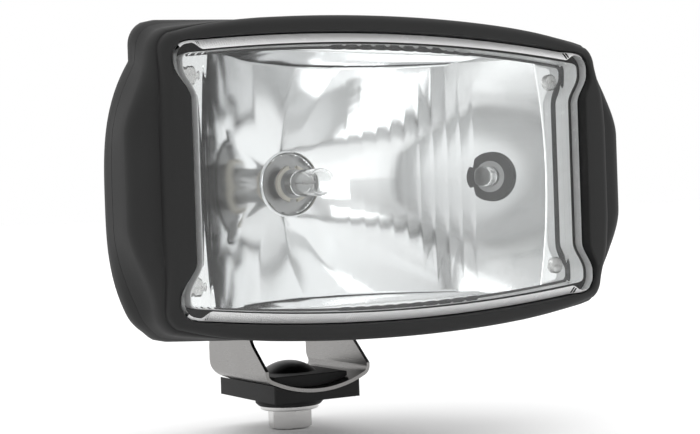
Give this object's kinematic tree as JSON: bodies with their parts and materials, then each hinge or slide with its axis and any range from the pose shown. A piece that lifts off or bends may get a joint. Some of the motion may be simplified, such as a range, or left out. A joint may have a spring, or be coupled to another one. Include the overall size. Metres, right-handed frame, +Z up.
{
  "type": "fog light",
  "caption": "Rectangular vehicle auxiliary lamp with clear patterned glass, bright reflector and black bezel on a U strap with one mounting bolt.",
  "frame": {"origin": "mounting bolt's axis at the underside of the pad's boss, which sits on the vehicle", "axes": "+X along the lamp's width, -Y is where the light goes, +Z up, away from the vehicle"},
  "size_m": [0.221, 0.127, 0.1669],
  "materials": {
    "black_plastic": "fine moulded grain, satin black",
    "pale_plastic": "moulded, light grey",
    "clear_glass": "clear pressed glass",
    "bulb_glass": "clear quartz glass",
    "black_rubber": "soft black rubber",
    "mirror_coat": "vacuum aluminised, lacquered",
    "zinc_screws": "zinc plated",
    "filament_wire": "drawn tungsten",
    "bulb_metal": "nickel plated",
    "bulb_ceramic": "cream cement and plated disc",
    "spring_wire": "spring steel wire",
    "lead_sleeve": "black sleeved lead",
    "stainless_fasteners": "bright stainless",
    "stainless_sheet": "satin stainless sheet",
    "dark_bolt": "dark coated steel"
  },
  "bodies": {
    "clamp_nut": {"mount_nut": "stainless_fasteners", "mount_washer": "stainless_fasteners"},
    "saddle": {"lower_pad": "black_plastic", "upper_saddle": "black_plastic", "carriage_bolt": "dark_bolt"},
    "bracket": {"strap": "stainless_sheet"},
    "lamp": {"front_bezel": "black_plastic", "lens": "clear_glass", "lens_gasket": "black_rubber", "reflector": "mirror_coat", "reflector_screws": "zinc_screws", "bulb_glass": "bulb_glass", "bulb_filament": "filament_wire", "bulb_base": "bulb_metal", "bulb_flange": "bulb_ceramic", "bulb_seat": "black_plastic", "bulb_clip": "spring_wire", "bulb_lead": "lead_sleeve", "terminal_block": "pale_plastic", "terminal_screws": "zinc_screws", "parking_grommet": "black_rubber", "parking_socket": "pale_plastic", "parking_cap": "bulb_metal", "parking_glass": "bulb_glass", "rear_housing": "black_plastic", "bezel_screws": "zinc_screws", "cable_grommet": "black_rubber", "breather_cap": "black_rubber", "pivot_bolt": "stainless_fasteners", "pivot_washers": "stainless_fasteners", "pivot_nut": "stainless_fasteners"}
  },
  "joints": [
    {"name": "swivel", "type": "hinge", "parent": "clamp_nut", "child": "saddle", "pos_m": [0, 0, 0], "axis": [0, 0, 1], "continuous": true},
    {"name": "side_rock", "type": "hinge", "parent": "saddle", "child": "bracket", "pos_m": [0, 0, 0.0596], "axis": [0, 1, 0], "range_deg": [-4, 4]},
    {"name": "tilt", "type": "hinge", "parent": "bracket", "child": "lamp", "pos_m": [0, 0.0044, 0.043], "axis": [1, 0, 0], "range_deg": [-45, 19]}
  ]
}
